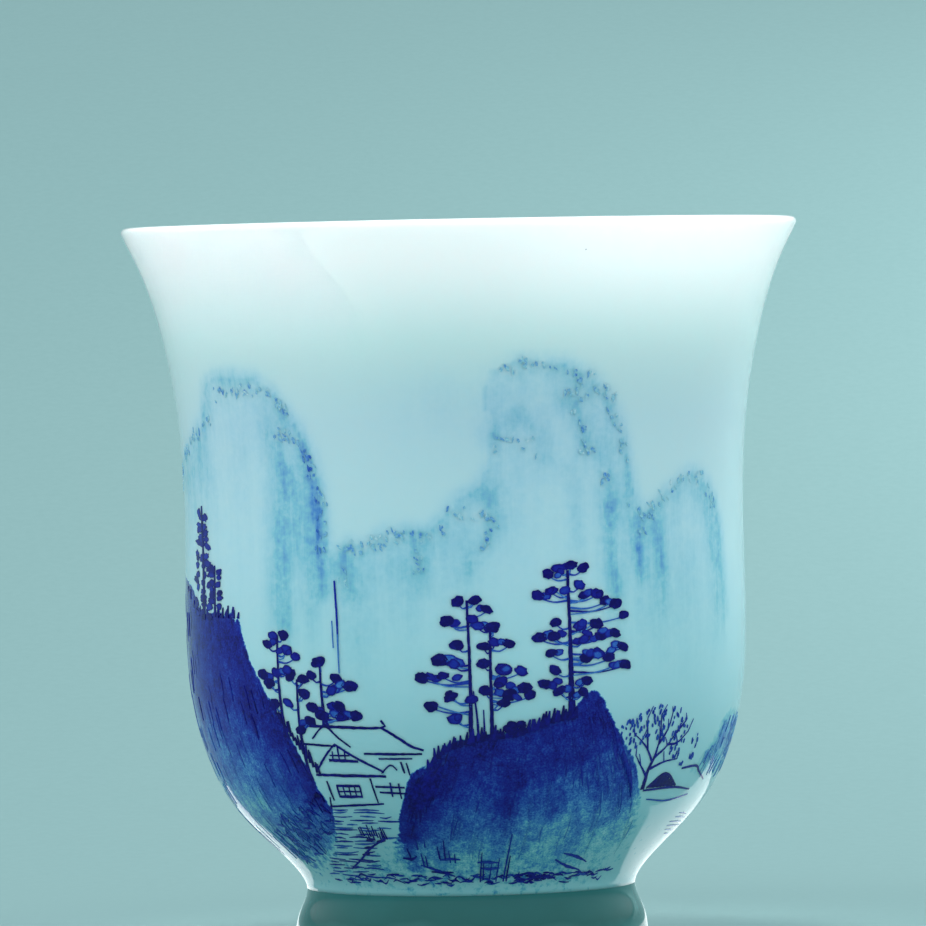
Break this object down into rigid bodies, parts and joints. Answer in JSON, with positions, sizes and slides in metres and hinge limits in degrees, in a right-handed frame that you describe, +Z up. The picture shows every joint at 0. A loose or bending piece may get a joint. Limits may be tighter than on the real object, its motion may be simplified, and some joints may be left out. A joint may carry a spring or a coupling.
{
  "type": "teacup",
  "caption": "Flared bell-shaped porcelain teacup without a handle, on a splayed ring foot, with an underglaze cobalt landscape.",
  "frame": {"origin": "centre of the foot's bare standing rim, on the plane the cup stands on", "axes": "+Z up along the cup's axis of revolution, -Y towards the front of the painted landscape, +X to the right of a viewer who faces that front"},
  "size_m": [0.066, 0.066, 0.071],
  "materials": {
    "porcelain": "unglazed white porcelain, fine and smooth, bare only at the rim that the cup stands on",
    "clear_glaze": "glossy clear glaze with a cool, slightly green-blue white",
    "pale_cobalt": "glossy glaze over a thin wash of cobalt",
    "cobalt": "glossy glaze over a heavy wash of cobalt",
    "line_cobalt": "glossy glaze over cobalt drawn with a fine brush"
  },
  "bodies": {
    "root": {"porcelain_body": "porcelain", "foot_ring": "porcelain", "inner_glaze": "clear_glaze", "outer_glaze": "clear_glaze", "foot_glaze": "clear_glaze", "base_glaze": "clear_glaze", "far_peak_left": "pale_cobalt", "far_ridge_middle": "pale_cobalt", "far_peak_centre": "pale_cobalt", "far_peak_right": "pale_cobalt", "far_slope_back": "pale_cobalt", "far_shore_right": "pale_cobalt", "far_shore_back": "pale_cobalt", "near_cliff_left": "cobalt", "near_cliff_back": "cobalt", "near_hill_centre": "cobalt", "cypress": "line_cobalt", "pines_left": "line_cobalt", "pines_centre": "line_cobalt", "pine_right": "line_cobalt", "cottage": "line_cobalt", "bare_tree": "line_cobalt", "moored_boat": "line_cobalt", "water_ripples": "line_cobalt", "shoreline": "line_cobalt"}
  },
  "joints": []
}
